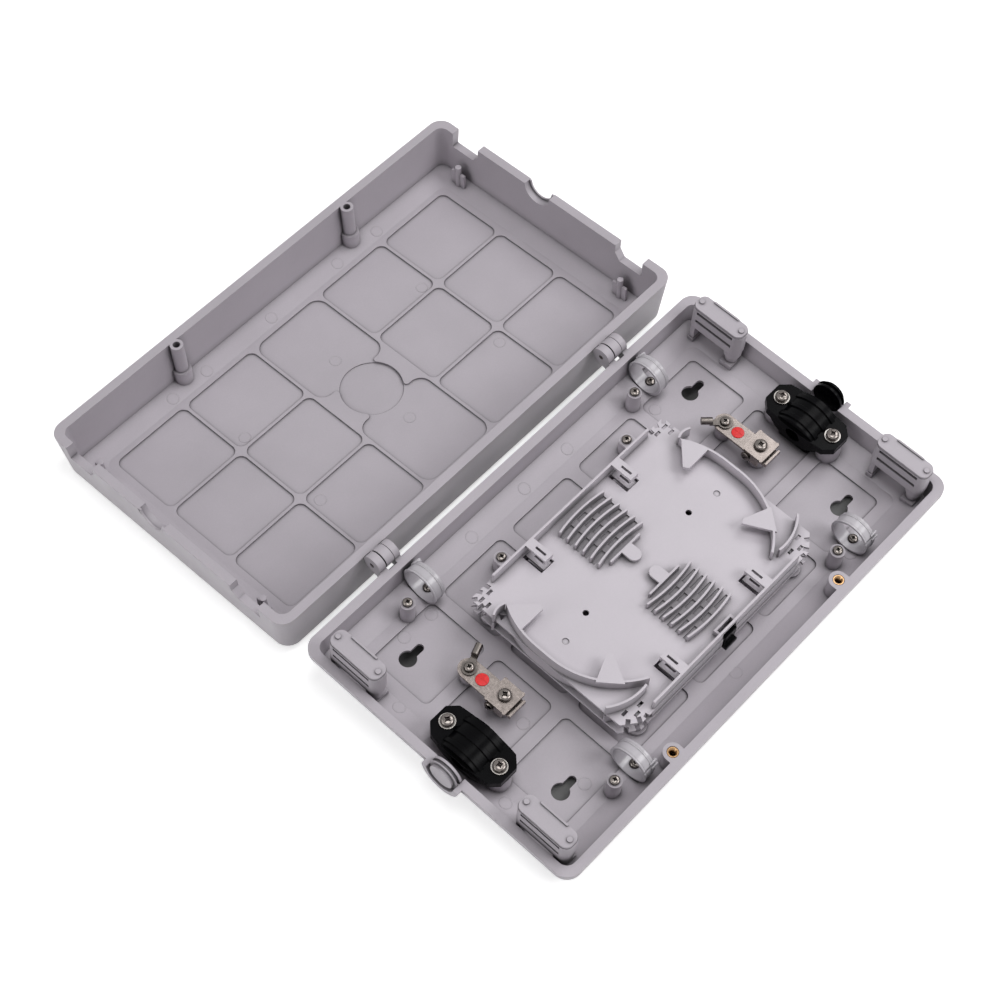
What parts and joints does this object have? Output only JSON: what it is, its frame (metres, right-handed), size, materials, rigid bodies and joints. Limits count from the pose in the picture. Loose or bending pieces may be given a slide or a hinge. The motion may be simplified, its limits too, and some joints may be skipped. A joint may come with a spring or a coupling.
{
  "type": "fibre splice box",
  "caption": "Shallow hinged wall box, opened flat: base with stacked splice trays, guide rings, cable clamps and earth clamps, and a deeper lid.",
  "frame": {"origin": "middle of the base's flat back face, on the wall", "axes": "+Z out of the wall, +X along the hinge, +Y across the base toward the hinge and the open lid"},
  "size_m": [0.3264, 0.3909, 0.0671],
  "materials": {
    "grey_plastic": "fine satin moulded grey",
    "ring_plastic": "glossy light grey",
    "black_plastic": "satin black",
    "nickel_plate": "warm nickel plate",
    "zinc_steel": "zinc-plated, bright",
    "brass": "turned brass"
  },
  "bodies": {
    "base": {"base_shell": "grey_plastic", "splice_tray_lower": "grey_plastic", "splice_tray_upper": "grey_plastic", "port_plug_left": "grey_plastic", "port_plug_right": "black_plastic", "tray_latch": "black_plastic", "clamp_washers": "zinc_steel", "clamp_screws": "zinc_steel", "pillar_screws": "zinc_steel", "ring_screws": "zinc_steel", "tray_screws": "zinc_steel", "earth_screws": "zinc_steel", "saddle_screws": "zinc_steel", "hinge_pin_left": "zinc_steel", "threaded_insert_left": "brass", "cable_clamp_left": "black_plastic", "clamp_saddle_left": "black_plastic", "earth_plate_left": "nickel_plate", "earth_saddle_left": "nickel_plate", "earth_lug_left": "zinc_steel", "pinch_screw_left": "zinc_steel", "cable_entry_rear_left": "grey_plastic", "guide_ring_rear_left": "ring_plastic", "cable_entry_front_left": "grey_plastic", "guide_ring_front_left": "ring_plastic", "hinge_pin_right": "zinc_steel", "threaded_insert_right": "brass", "cable_clamp_right": "black_plastic", "clamp_saddle_right": "black_plastic", "earth_plate_right": "nickel_plate", "earth_saddle_right": "nickel_plate", "earth_lug_right": "zinc_steel", "pinch_screw_right": "zinc_steel", "cable_entry_rear_right": "grey_plastic", "guide_ring_rear_right": "ring_plastic", "cable_entry_front_right": "grey_plastic", "guide_ring_front_right": "ring_plastic"},
    "lid": {"lid_shell": "grey_plastic"}
  },
  "joints": [
    {"name": "lid_hinge", "type": "hinge", "parent": "base", "child": "lid", "pos_m": [0, 0.1012, 0.02], "axis": [1, 0, 0], "range_deg": [0, 184.5]}
  ]
}
